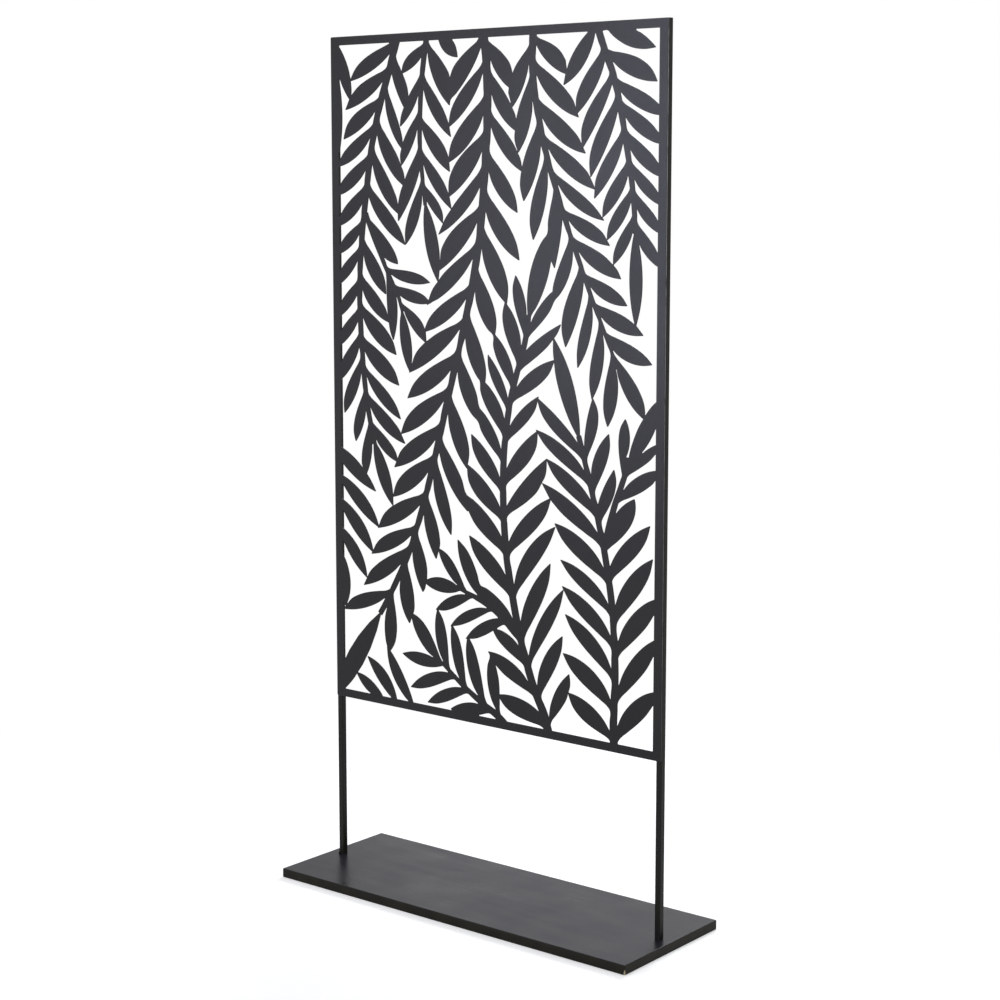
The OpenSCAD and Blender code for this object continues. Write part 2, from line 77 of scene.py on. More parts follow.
# ---------------------------------------------------------------- Floor and light
# A seamless white studio floor that keeps the screen's soft shadow, under even cool light from
# five soft boxes. The front one stands to the left, and its blurred mirror image makes the sheet
# paler towards the upper right. The low one behind gives the top of the base its sheen.
FLOOR_RADIUS = 12
FLOOR_SIDES = 96
FLOOR_COLOUR = (0.82, 0.82, 0.82, 1)
FLOOR_ROUGHNESS = 0.9
FLOOR_SPECULAR = 0.1
FLOOR_GLOW = 0.36
SHADOW_FADE = (0.8, 1.9)
WORLD_LIGHT = 0.42
SEEN_WHITE = 1.0
WHITE = (1, 1, 1, 1)
SOFT_BOXES = (
    # name, place, target, width, height, power, colour
    ("front", (-2.65, -4.7, 1.42), (0.2, 0, 1.3), 0.8, 1.8, 100, (0.77, 0.79, 1)),
    ("right", (2.6, -3.0, 3.6), (0.1, 0, 1.4), 1.6, 1.6, 26, (0.97, 0.97, 1)),
    ("overhead", (0, 0.4, 4.2), (0, 0, 0.5), 2.4, 2.4, 40, (0.95, 0.97, 1)),
    ("low_behind", (-1.8, 3.3, 1.5), (0.1, 0, 0), 2.4, 1.2, 6, (0.9, 0.92, 1)),
    ("high_behind", (-0.6, 3.6, 3.3), (0, 0, 1), 1.4, 1.4, 100, (0.9, 0.92, 1)),
)


def new_node(tree, kind, inputs, **settings):
    """A node with its settings made and its inputs filled, each from a socket or with a value."""
    node = tree.nodes.new(kind)
    for setting, value in settings.items():
        setattr(node, setting, value)
    for name, value in inputs.items():
        if isinstance(value, bpy.types.NodeSocket):
            tree.links.new(value, node.inputs[name])
        else:
            node.inputs[name].default_value = value
    return node


def join(tree, operation, *values):
    """The sum, product and so on of sockets and numbers."""
    node = new_node(tree, "ShaderNodeMath", dict(enumerate(values)), operation=operation)
    return node.outputs[0]


def ranged(tree, value, span=(0, 1), result=(0, 1), **settings):
    """The value with its span stretched to the result. It stays at the result's ends outside."""
    inputs = {
        "Value": value,
        "From Min": span[0],
        "From Max": span[1],
        "To Min": result[0],
        "To Max": result[1],
    }
    return new_node(tree, "ShaderNodeMapRange", inputs, **settings).outputs["Result"]


def seen_rays(tree):
    """1 for the rays that show a surface: from the camera, from gloss and through glass."""
    path = tree.nodes.new("ShaderNodeLightPath")
    seen = path.outputs["Is Camera Ray"]
    for ray in ("Is Glossy Ray", "Is Transmission Ray"):
        seen = join(tree, "MAXIMUM", seen, path.outputs[ray])
    return seen


def floor_material():
    """Lit near the screen, plain white further out, and clear from below."""
    material = bpy.data.materials.new("studio_floor")
    material.use_nodes = True
    tree = material.node_tree
    tree.nodes.clear()
    place = tree.nodes.new("ShaderNodeTexCoord").outputs["Object"]
    distance = new_node(tree, "ShaderNodeVectorMath", {0: place}, operation="LENGTH")
    fade = ranged(
        tree, distance.outputs["Value"], SHADOW_FADE, interpolation_type="SMOOTHSTEP"
    )
    seen = seen_rays(tree)
    lit_inputs = {
        "Base Color": FLOOR_COLOUR,
        "Roughness": FLOOR_ROUGHNESS,
        "Specular IOR Level": FLOOR_SPECULAR,
        "Emission Color": WHITE,
        "Emission Strength": join(tree, "MULTIPLY", seen, FLOOR_GLOW),
    }
    lit = new_node(tree, "ShaderNodeBsdfPrincipled", lit_inputs).outputs["BSDF"]
    white = new_node(tree, "ShaderNodeEmission", {"Strength": SEEN_WHITE}).outputs["Emission"]
    far = join(tree, "MULTIPLY", fade, seen)
    blend = new_node(tree, "ShaderNodeMixShader", {"Fac": far, 1: lit, 2: white})
    below = tree.nodes.new("ShaderNodeNewGeometry").outputs["Backfacing"]
    clear = tree.nodes.new("ShaderNodeBsdfTransparent").outputs["BSDF"]
    one_sided = new_node(
        tree, "ShaderNodeMixShader", {"Fac": below, 1: blend.outputs["Shader"], 2: clear}
    )
    new_node(tree, "ShaderNodeOutputMaterial", {"Surface": one_sided.outputs["Shader"]})
    return material


floor_mesh = bpy.data.meshes.new("floor")
floor_rim = []
for side in range(FLOOR_SIDES):
    turn = math.tau * side / FLOOR_SIDES
    floor_rim.append((FLOOR_RADIUS * math.cos(turn), FLOOR_RADIUS * math.sin(turn), 0))
floor_mesh.from_pydata(floor_rim, [], [tuple(range(FLOOR_SIDES))])
floor_mesh.materials.append(floor_material())
floor = placed("floor", floor_mesh)

world = bpy.data.worlds.new("studio")
world.use_nodes = True
bpy.context.scene.world = world
sky_tree = world.node_tree
sky = sky_tree.nodes["Background"]
sky.inputs["Color"].default_value = WHITE
sky_level = ranged(sky_tree, seen_rays(sky_tree), result=(WORLD_LIGHT, SEEN_WHITE))
sky_tree.links.new(sky_level, sky.inputs["Strength"])

for name, place, target, width, height, power, colour in SOFT_BOXES:
    lamp = bpy.data.lights.new("soft_box_" + name, "AREA")
    lamp.shape = "RECTANGLE"
    lamp.size = width
    lamp.size_y = height
    lamp.energy = power
    lamp.color = colour
    box = placed("soft_box_" + name, lamp)
    box.location = place
    aim = Vector(target) - Vector(place)
    box.rotation_euler = aim.to_track_quat("-Z", "Y").to_euler()
    box.visible_camera = False


# ---------------------------------------------------------------- Leaf panel
# The sheet is mild steel, laser cut in a pattern of hanging and rising branches, and powder coated
# charcoal with its frame. It is welded flat to the front of the frame.
CLOUD_SPAN = (0.3, 0.7)
STREAK_SHARE = 0.4
STREAK_STRETCH = (0.5, 4, 0.5)
PEEL_STRENGTH = 0.5
# The rim colour and its shares below make a painted highlight on the sheet's outer cut edge, paler
# towards the top.
RIM_HIGHLIGHT_COLOUR = (0.42, 0.42, 0.43, 1)
RIM_LEAST_HIGHLIGHT = 0.1
RIM_PATCH_SCALE = 30
RIM_PATCH_SPAN = (0.2, 0.5)
CUT_LINE_PITCH = 0.0007
CUT_LINE_HEIGHT = 0.00006
CUT_LINE_STRETCH = (1, 0.05, 1)
SLOT_EDGE = 0.00028
RIM_EDGE = 0.0009
CURVE_STEP = 0.004
SHARP_TURN = math.radians(26)
SHARP_WALL = math.radians(50)
STRAIGHT_LENGTH = 0.04
LEAST_GAP = 0.00015
MERGE_REACH = LEAST_GAP / 100
LONGEST_MITRE = 2.5
FACING = 0.5
NEARLY_FLAT = 0.9
FLAT = 0.99


def new_socket(group, name, kind, direction, value=None):
    socket = group.interface.new_socket(name, in_out=direction, socket_type=kind)
    if value is not None:
        socket.default_value = value


def speckled(tree, place, scale, detail=2):
    """A cloudy noise over the places of a piece."""
    inputs = {"Vector": place, "Scale": scale, "Detail": detail}
    return new_node(tree, "ShaderNodeTexNoise", inputs).outputs["Fac"]


def tinted(tree, share, first, second):
    """The first colour, with this share of the second."""
    inputs = {"Factor": share, "A": first, "B": second}
    return new_node(tree, "ShaderNodeMix", inputs, data_type="RGBA").outputs["Result"]


def powder_coat_group():
    """A sprayed and baked coat: cloudy shade, faint wipe streaks and a fine orange peel."""
    group = bpy.data.node_groups.new("powder_coat", "ShaderNodeTree")
    new_socket(group, "Place", "NodeSocketVector", "INPUT")
    new_socket(group, "Coat", "NodeSocketColor", "INPUT", (0.02, 0.02, 0.022, 1))
    new_socket(group, "Cloud Size", "NodeSocketFloat", "INPUT", 0.15)
    new_socket(group, "Cloud Strength", "NodeSocketFloat", "INPUT", 0.2)
    new_socket(group, "Gloss Low", "NodeSocketFloat", "INPUT", 0.36)
    new_socket(group, "Gloss High", "NodeSocketFloat", "INPUT", 0.5)
    new_socket(group, "Peel Size", "NodeSocketFloat", "INPUT", 0.0012)
    new_socket(group, "Colour", "NodeSocketColor", "OUTPUT")
    new_socket(group, "Roughness", "NodeSocketFloat", "OUTPUT")
    new_socket(group, "Height", "NodeSocketFloat", "OUTPUT")
    made = group.nodes.new("NodeGroupInput").outputs

    cloud_scale = join(group, "DIVIDE", 1, made["Cloud Size"])
    wiped = new_node(
        group, "ShaderNodeMapping", {"Vector": made["Place"], "Scale": STREAK_STRETCH}
    )
    cloud = speckled(group, made["Place"], cloud_scale, detail=4)
    streak = speckled(group, wiped.outputs["Vector"], cloud_scale, detail=3)
    both = new_node(
        group,
        "ShaderNodeMix",
        {"Factor": STREAK_SHARE, "A": cloud, "B": streak},
        data_type="FLOAT",
    )
    shade = ranged(group, both.outputs["Result"], CLOUD_SPAN)

    darker = join(group, "SUBTRACT", 1, made["Cloud Strength"])
    lighter = join(group, "ADD", 1, made["Cloud Strength"])
    level = ranged(group, shade, result=(darker, lighter))
    colour = new_node(
        group, "ShaderNodeVectorMath", {0: made["Coat"], "Scale": level}, operation="SCALE"
    )
    peel_scale = join(group, "DIVIDE", 1, made["Peel Size"])
    results = {
        "Colour": colour.outputs["Vector"],
        "Roughness": ranged(group, shade, result=(made["Gloss Low"], made["Gloss High"])),
        "Height": speckled(group, made["Place"], peel_scale),
    }
    new_node(group, "NodeGroupOutput", results)
    return group


powder_coat = powder_coat_group()


def coated_material(name, coat, cloud_size, cloud_strength, gloss, specular, peel_height):
    """A powder coat. Its gloss is the least and the greatest roughness."""
    material = bpy.data.materials.new(name)
    material.use_nodes = True
    tree = material.node_tree
    coat_inputs = {
        "Place": tree.nodes.new("ShaderNodeTexCoord").outputs["Object"],
        "Coat": (*coat, 1),
        "Cloud Size": cloud_size,
        "Cloud Strength": cloud_strength,
        "Gloss Low": gloss[0],
        "Gloss High": gloss[1],
    }
    layer = new_node(tree, "ShaderNodeGroup", coat_inputs, node_tree=powder_coat)
    peel_inputs = {
        "Distance": peel_height,
        "Strength": PEEL_STRENGTH,
        "Height": layer.outputs["Height"],
    }
    peel = new_node(tree, "ShaderNodeBump", peel_inputs)
    shader = tree.nodes["Principled BSDF"]
    shader.inputs["Specular IOR Level"].default_value = specular
    tree.links.new(layer.outputs["Colour"], shader.inputs["Base Color"])
    tree.links.new(layer.outputs["Roughness"], shader.inputs["Roughness"])
    tree.links.new(peel.outputs["Normal"], shader.inputs["Normal"])
    return material


def show_through(material, share, colour):
    """Lets a share of another colour show through a coat."""
    tree = material.node_tree
    base = tree.nodes["Principled BSDF"].inputs["Base Color"]
    tree.links.new(tinted(tree, share, base.links[0].from_socket, colour), base)


def add_painted_rim_highlight(material, low, high):
    """A painted highlight: a paler steel grey mixed into the coat, strongest towards the top and
    uneven in patches.
    """
    tree = material.node_tree
    place = tree.nodes.new("ShaderNodeTexCoord").outputs["Object"]
    where = new_node(tree, "ShaderNodeSeparateXYZ", {"Vector": place})
    height = ranged(tree, where.outputs["Z"], (low, high), (RIM_LEAST_HIGHLIGHT, 1))
    uneven = ranged(tree, speckled(tree, place, RIM_PATCH_SCALE), RIM_PATCH_SPAN)
    show_through(material, join(tree, "MULTIPLY", height, uneven), RIM_HIGHLIGHT_COLOUR)


def add_cut_lines(material):
    """The fine lines that a laser leaves through the thickness of a sheet, on cut walls only."""
    tree = material.node_tree
    place = tree.nodes.new("ShaderNodeTexCoord")
    across = new_node(
        tree,
        "ShaderNodeMapping",
        {"Vector": place.outputs["Object"], "Scale": CUT_LINE_STRETCH},
    )
    lines = speckled(tree, across.outputs["Vector"], 1 / CUT_LINE_PITCH)
    facing = new_node(tree, "ShaderNodeSeparateXYZ", {"Vector": place.outputs["Normal"]})
    on_walls = join(tree, "SUBTRACT", 1, join(tree, "ABSOLUTE", facing.outputs["Y"]))
    normal = tree.nodes["Principled BSDF"].inputs["Normal"]
    line_inputs = {
        "Distance": CUT_LINE_HEIGHT,
        "Height": join(tree, "MULTIPLY", lines, on_walls),
        "Normal": normal.links[0].from_socket,
    }
    tree.links.new(new_node(tree, "ShaderNodeBump", line_inputs).outputs["Normal"], normal)


def cut_outlines(node):
    """The closed outlines of a flat sheet's front face, as lists of points in its plane."""
    sheet = bmesh.new()
    sheet.from_mesh(nodes[node].data)
    bmesh.ops.remove_doubles(sheet, verts=sheet.verts, dist=MERGE_REACH)
    after = {}
    for face in sheet.faces:
        if face.normal.y > -FACING:
            continue
        for corner in face.loops:
            if any(abs(other.normal.y) < FACING for other in corner.edge.link_faces):
                after[corner.vert] = corner.link_loop_next.vert
    outlines = []
    while after:
        vertex, following = after.popitem()
        outline = [vertex.co.xz]
        while following in after:
            outline.append(following.co.xz)
            following = after.pop(following)
        outlines.append(outline)
    sheet.free()
    return outlines


def flowing(outline):
    """An outline with its gentle turns drawn as curves. Sharp turns and long edges stay."""
    kept = [
        point
        for number, point in enumerate(outline)
        if (point - outline[number - 1]).length > LEAST_GAP
    ]
    count = len(kept)
    edges = [kept[(number + 1) % count] - kept[number] for number in range(count)]
    heading = []
    for number, edge in enumerate(edges):
        before = edges[number - 1]
        turning = abs(before.angle_signed(edge))
        straight = max(before.length, edge.length) > STRAIGHT_LENGTH
        if turning > SHARP_TURN or straight:
            heading.append(None)
        else:
            blend = before.normalized() * edge.length + edge.normalized() * before.length
            heading.append(blend.normalized())
    points = []
    for number, edge in enumerate(edges):
        start = kept[number]
        end = kept[(number + 1) % count]
        leaving = heading[number]
        arriving = heading[(number + 1) % count]
        points.append(start)
        steps = math.ceil(edge.length / CURVE_STEP)
        if steps < 2 or (leaving is None and arriving is None):
            continue
        third = edge.length / 3
        first = start + leaving * third if leaving is not None else None
        second = end - arriving * third if arriving is not None else None
        first = (start + second) / 2 if first is None else first
        second = (end + first) / 2 if second is None else second
        for step in range(1, steps):
            t = step / steps
            points.append(
                start * (1 - t) ** 3
                + first * 3 * t * (1 - t) ** 2
                + second * 3 * t**2 * (1 - t)
                + end * t**3
            )
    return points


def drawn_in(outline, depth):
    """The outline moved into the metal, which lies on its left, by depth."""
    count = len(outline)
    moved = []
    for number, point in enumerate(outline):
        before = (point - outline[number - 1]).normalized()
        after = (outline[(number + 1) % count] - point).normalized()
        normal = Vector((-before.y - after.y, before.x + after.x))
        span = normal.length_squared / 2
        mitre = normal / max(span, 2 / LONGEST_MITRE**2)
        moved.append(point + mitre * depth)
    return moved


def shaded_solid(name, points, faces, shading):
    """A solid of these faces, turned outwards, with its smooth and sharp edges set by shading."""
    mesh = bpy.data.meshes.new(name)
    mesh.from_pydata(points, [], faces)
    solid = bmesh.new()
    solid.from_mesh(mesh)
    bmesh.ops.recalc_face_normals(solid, faces=solid.faces)
    shading(solid)
    solid.to_mesh(mesh)
    solid.free()
    return placed(name, mesh)


def sheet_shading(sheet):
    """The cut walls are shaded smooth, but for their corners, and the two flats stay flat."""
    for face in sheet.faces:
        face.smooth = True
    for edge in sheet.edges:
        beside_flat = any(abs(face.normal.y) > FLAT for face in edge.link_faces)
        edge.smooth = not beside_flat and edge.calc_face_angle(0) < SHARP_WALL


def cut_sheet(name, outlines, edges, front, back):
    """A solid sheet with these outlines, each with its own rounded edge, between two depths."""
    near = 1 - math.sqrt(0.5)  # the middle of a quarter round, from either of its flats
    points = []
    faces = []
    caps = [[], []]
    for outline, edge in zip(outlines, edges):
        rows = (
            (edge, front),
            (edge * near, front + edge * near),
            (0, front + edge),
            (0, back - edge),
            (edge * near, back - edge * near),
            (edge, back),
        )
        count = len(outline)
        first = len(points)
        for row, (inset, depth) in enumerate(rows):
            ring = drawn_in(outline, inset)
            points.extend((point.x, depth, point.y) for point in ring)
            if row in (0, len(rows) - 1):
                caps[row > 0].append([Vector((point.x, point.y, 0)) for point in ring])
        for row in range(len(rows) - 1):
            for number in range(count):
                low = first + row * count + number
                side = first + row * count + (number + 1) % count
                faces.append((low, side, side + count, low + count))
    for which, cap in enumerate(caps):
        places = []
        first = 0
        for outline in outlines:
            offset = first + which * (len(rows) - 1) * len(outline)
            places.extend(range(offset, offset + len(outline)))
            first += len(rows) * len(outline)
        for triangle in tessellate_polygon(cap):
            faces.append(tuple(places[corner] for corner in triangle))
    return shaded_solid(name, points, faces, sheet_shading)


def width_of(outline):
    across = [point.x for point in outline]
    return max(across) - min(across)


panel_coat = coated_material(
    "panel_coat",
    coat=(0.0090, 0.0090, 0.0090),
    cloud_size=0.25,
    cloud_strength=0.2,
    gloss=(0.30, 0.40),
    specular=0.20,
    peel_height=0.0001,
)
# The outer rim's coat, with a painted highlight mixed in that grows paler towards the top.
rim_coat_with_painted_highlight = coated_material(
    "rim_coat_with_painted_highlight",
    coat=(0.0095, 0.0095, 0.0096),
    cloud_size=0.25,
    cloud_strength=0.2,
    gloss=(0.30, 0.40),
    specular=0.5,
    peel_height=0.0001,
)
panel_low, panel_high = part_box("leaf_panel")
two_thirds_up = (panel_low.z + 2 * panel_high.z) / 3
add_painted_rim_highlight(rim_coat_with_painted_highlight, panel_low.z, two_thirds_up)
panel_outlines = [flowing(outline) for outline in cut_outlines("leaf_panel")]
rim_outline = max(panel_outlines, key=width_of)
leaf_sheet = cut_sheet(
    "leaf_sheet",
    panel_outlines,
    [RIM_EDGE if outline is rim_outline else SLOT_EDGE for outline in panel_outlines],
    panel_low.y,
    panel_high.y,
)
for coat in (panel_coat, rim_coat_with_painted_highlight):
    add_cut_lines(coat)
    leaf_sheet.data.materials.append(coat)
# Faces of the outer cut edge take the coat with the painted highlight.
for face in leaf_sheet.data.polygons:
    across = min(face.center.x - panel_low.x, panel_high.x - face.center.x)
    upright = min(face.center.z - panel_low.z, panel_high.z - face.center.z)
    at_rim = min(across, upright) < RIM_EDGE / 2 and abs(face.normal.y) < NEARLY_FLAT
    face.material_index = int(at_rim)
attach(leaf_sheet, "root")
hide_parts("leaf_panel")


# ---------------------------------------------------------------- Frame
# Two posts and two rails of square steel tube, mitred at the top, welded and powder coated
# with the sheet. The posts carry on below the panel down to the base.
TUBE_EDGE = 0.0008
TUBE_EDGE_STEPS = 5
TUBE_WALL = 0.0015
LEAST_FLAT_AREA = 0.002
SHARP_EDGE = math.radians(40)

frame_coat = coated_material(
    "frame_coat",
    coat=(0.0085, 0.0085, 0.0062),
    cloud_size=0.2,
    cloud_strength=0.2,
    gloss=(0.36, 0.48),
    specular=0.12,
    peel_height=0.0001,
)
post_low, post_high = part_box("post_right")
rail_low, rail_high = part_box("bottom_rail")
top_low, top_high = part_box("top_rail")
inner_x = post_low.x


def crisp_shading(solid):
    """Rounded edges are shaded smooth, and the broad flats between them stay flat."""
    for face in solid.faces:
        face.smooth = True
    for edge in solid.edges:
        broad = any(face.calc_area() > LEAST_FLAT_AREA for face in edge.link_faces)
        edge.smooth = not broad and edge.calc_face_angle(0) < SHARP_EDGE


def square_ring(half, radius):
    """The outline of a square tube's section about its middle, with rounded corners."""
    reach = math.sqrt(2) * (half - radius)
    ring = []
    for quarter in range(4):
        middle = math.tau * (quarter + 0.5) / 4
        for step in range(TUBE_EDGE_STEPS + 1):
            turn = math.tau * (quarter + step / TUBE_EDGE_STEPS) / 4
            across = reach * math.cos(middle) + radius * math.cos(turn)
            deep = reach * math.sin(middle) + radius * math.sin(turn)
            ring.append((across, deep))
    return ring


def crisp_tube(node, along, ends, outward=1):
    """A hollow tube of the frame in place of a node, along the X axis (0) or the Z axis (2).

    Each end has its place on the inside of the frame, and its mitre: the share by which the tube
    grows longer towards the outside, on the side that outward gives.
    """
    low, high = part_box(node)
    side = 2 - along
    half = (high[side] - low[side]) / 2
    rings = (square_ring(half, TUBE_EDGE), square_ring(half - TUBE_WALL, TUBE_EDGE / 2))
    count = len(rings[0])
    points = []
    for place, mitre in ends:
        for ring in rings:
            for across, deep in ring:
                point = (low + high) / 2
                point[along] = place + mitre * (half + outward * across)
                point[side] += across
                point.y += deep
                points.append(point)
    outer, inner, far_outer, far_inner = (count * ring for ring in range(2 * len(rings)))
    loop = (outer, inner, far_inner, far_outer)
    faces = []
    for number, first in enumerate(loop):
        second = loop[(number + 1) % len(loop)]
        for corner in range(count):
            following = (corner + 1) % count
            faces.append((first + corner, first + following, second + following, second + corner))
    tube = shaded_solid(node + "_tube", points, faces, crisp_shading)
    tube.data.materials.append(frame_coat)
    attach(tube, "root")
    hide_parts(node)


crisp_tube("post_left", 2, ((post_low.z, 0), (top_low.z, 1)), outward=-1)
crisp_tube("post_right", 2, ((post_low.z, 0), (top_low.z, 1)))
crisp_tube("top_rail", 0, ((-inner_x, -1), (inner_x, 1)))
crisp_tube("bottom_rail", 0, ((rail_low.x, 0), (rail_high.x, 0)))


# ---------------------------------------------------------------- Weld beads
# Short hand laid beads hold the sheet to the back of the frame, in the corner between the two.
# Others close the mitres and the butt joints of the tubes. All were coated over with the frame.
BEAD_RADIUS = 0.0017
BEAD_LENGTH = 0.026
BEAD_RIPPLE = 0.0024
BEAD_RIPPLE_DEPTH = 0.24
BEAD_END_SIZE = 0.25
BEAD_END_BLUNTNESS = 8
BEAD_SUNK = 0.6
BEAD_SIDES = 12
BEAD_STEPS_PER_RIPPLE = 6
BEADS_PER_POST = 9
BEADS_PER_RAIL = 6
SEAM_RADIUS = 0.0012
SEAM_RIPPLE = 0.0017
SEAM_PROUD = 0.0005


def bead_tree():
    """Turns each edge of a mesh into a bead with the ripples of one weld run."""
    tree = bpy.data.node_groups.new("weld_run", "GeometryNodeTree")
    new_socket(tree, "Seams", "NodeSocketGeometry", "INPUT")
    new_socket(tree, "Radius", "NodeSocketFloat", "INPUT", BEAD_RADIUS)
    new_socket(tree, "Ripple", "NodeSocketFloat", "INPUT", BEAD_RIPPLE)
    new_socket(tree, "Coat", "NodeSocketMaterial", "INPUT")
    new_socket(tree, "Beads", "NodeSocketGeometry", "OUTPUT")
    made = tree.nodes.new("NodeGroupInput").outputs

    line = new_node(tree, "GeometryNodeMeshToCurve", {"Mesh": made["Seams"]})
    step = join(tree, "DIVIDE", made["Ripple"], BEAD_STEPS_PER_RIPPLE)
    stepped = new_node(
        tree,
        "GeometryNodeResampleCurve",
        {"Curve": line.outputs["Curve"], "Length": step},
        mode="LENGTH",
    )

    along = tree.nodes.new("GeometryNodeSplineParameter").outputs
    turns = join(tree, "DIVIDE", along["Length"], made["Ripple"])
    wave = join(tree, "ABSOLUTE", join(tree, "SINE", join(tree, "MULTIPLY", turns, math.pi)))
    ripple = join(tree, "MULTIPLY_ADD", wave, BEAD_RIPPLE_DEPTH, 1 - BEAD_RIPPLE_DEPTH)
    off_centre = join(tree, "SUBTRACT", along["Factor"], 0.5)
    from_middle = join(tree, "ABSOLUTE", join(tree, "MULTIPLY", off_centre, 2))
    end_taper = join(tree, "SUBTRACT", 1, join(tree, "POWER", from_middle, BEAD_END_BLUNTNESS))
    taper = join(tree, "MULTIPLY_ADD", end_taper, 1 - BEAD_END_SIZE, BEAD_END_SIZE)
    size = join(tree, "MULTIPLY", join(tree, "MULTIPLY", ripple, taper), made["Radius"])

    section = new_node(
        tree, "GeometryNodeCurvePrimitiveCircle", {"Resolution": BEAD_SIDES, "Radius": 1}
    )
    body_inputs = {
        "Curve": stepped.outputs["Curve"],
        "Profile Curve": section.outputs["Curve"],
        "Scale": size,
        "Fill Caps": True,
    }
    body = new_node(tree, "GeometryNodeCurveToMesh", body_inputs).outputs["Mesh"]
    smooth = new_node(tree, "GeometryNodeSetShadeSmooth", {"Geometry": body})
    real = new_node(
        tree, "GeometryNodeRealizeInstances", {"Geometry": smooth.outputs["Geometry"]}
    )
    coated = new_node(
        tree,
        "GeometryNodeSetMaterial",
        {"Geometry": real.outputs["Geometry"], "Material": made["Coat"]},
    )
    new_node(tree, "NodeGroupOutput", {"Beads": coated.outputs["Geometry"]})
    return tree


weld_run = bead_tree()


def weld_beads(name, seams, radius, ripple, coat):
    """One piece of beads, a bead for each pair of ends in seams."""
    line = bpy.data.meshes.new(name + "_seams")
    ends = [end for seam in seams for end in seam]
    line.from_pydata(ends, [(2 * number, 2 * number + 1) for number in range(len(seams))], [])
    holder = placed(name + "_holder", line)
    modifier = holder.modifiers.new("weld_run", "NODES")
    modifier.node_group = weld_run
    values = {"Radius": radius, "Ripple": ripple, "Coat": coat}
    for item in weld_run.interface.items_tree:
        if item.in_out == "INPUT" and item.name in values:
            modifier[item.identifier] = values[item.name]
    depsgraph = bpy.context.evaluated_depsgraph_get()
    mesh = bpy.data.meshes.new_from_object(holder.evaluated_get(depsgraph))
    holder.modifiers.remove(modifier)
    bpy.data.objects.remove(holder)
    beads = placed(name, mesh)
    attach(beads, "root")


def spread(low, high, count):
    """The middles of count beads spread evenly from low to high, one close to each end."""
    first = low + BEAD_LENGTH
    step = (high - low - 2 * BEAD_LENGTH) / (count - 1)
    return [first + step * number for number in range(count)]


half_bead = BEAD_LENGTH / 2
bead_seat = BEAD_SUNK * BEAD_RADIUS
sheet_seams = []
for side in (-1, 1):
    x = side * (inner_x - bead_seat)
    y = panel_high.y + bead_seat
    for z in spread(rail_high.z, top_low.z, BEADS_PER_POST):
        sheet_seams.append(((x, y, z - half_bead), (x, y, z + half_bead)))
for z in (rail_high.z + bead_seat, top_low.z - bead_seat):
    for x in spread(-inner_x, inner_x, BEADS_PER_RAIL):
        sheet_seams.append(((x - half_bead, y, z), (x + half_bead, y, z)))
weld_beads(
    "sheet_weld_beads", sheet_seams, BEAD_RADIUS, BEAD_RIPPLE, frame_coat
)

tube_width = post_high.x - post_low.x
tube_back = post_high.y
seam_depth = tube_back - SEAM_RADIUS + SEAM_PROUD
seam_seat = BEAD_SUNK * SEAM_RADIUS
joint_seams = []
for side in (-1, 1):
    mitre_inside = (side * (inner_x + SEAM_RADIUS), seam_depth, top_low.z + SEAM_RADIUS)
    mitre_outside = (
        side * (inner_x + tube_width - 2 * SEAM_RADIUS),
        seam_depth,
        top_high.z - 2 * SEAM_RADIUS,
    )
    joint_seams.append((mitre_inside, mitre_outside))
    across = side * (inner_x - seam_seat)
    for level in (top_low.z - seam_seat, rail_low.z - seam_seat, rail_high.z + seam_seat):
        front_end = (across, post_low.y + SEAM_RADIUS, level)
        back_end = (across, tube_back - SEAM_RADIUS, level)
        joint_seams.append((front_end, back_end))
    low_end = (side * inner_x, seam_depth, rail_low.z + SEAM_RADIUS)
    high_end = (side * inner_x, seam_depth, rail_high.z - SEAM_RADIUS)
    joint_seams.append((low_end, high_end))
weld_beads(
    "joint_weld_beads", joint_seams, SEAM_RADIUS, SEAM_RIPPLE, frame_coat
)


# ---------------------------------------------------------------- Base
# A shallow tray of steel sheet. Its corners were welded and ground to a crisp edge before it was
# powder coated. The coat is cloudy on top, and worn through low on the corner nearest the front.
# The top and the sides take two copies of one charcoal coat, tinted cool on top and warm on the
# sides: a painted reflection that follows which way each face looks.
BASE_SHEET = 0.003
GROUND_EDGE = 0.0016
GROUND_EDGE_STEPS = 4
UPWARD = 0.7
WORN_HEIGHT = 0.013
WORN_WIDTH = 0.0026
WORN_RAGGEDNESS = WORN_WIDTH / 2
WORN_SOFTNESS = WORN_WIDTH / 6
WORN_RAG_SCALE = 700
WORN_COLOUR = (0.42, 0.34, 0.23, 1)

base_low, base_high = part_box("base_pan")


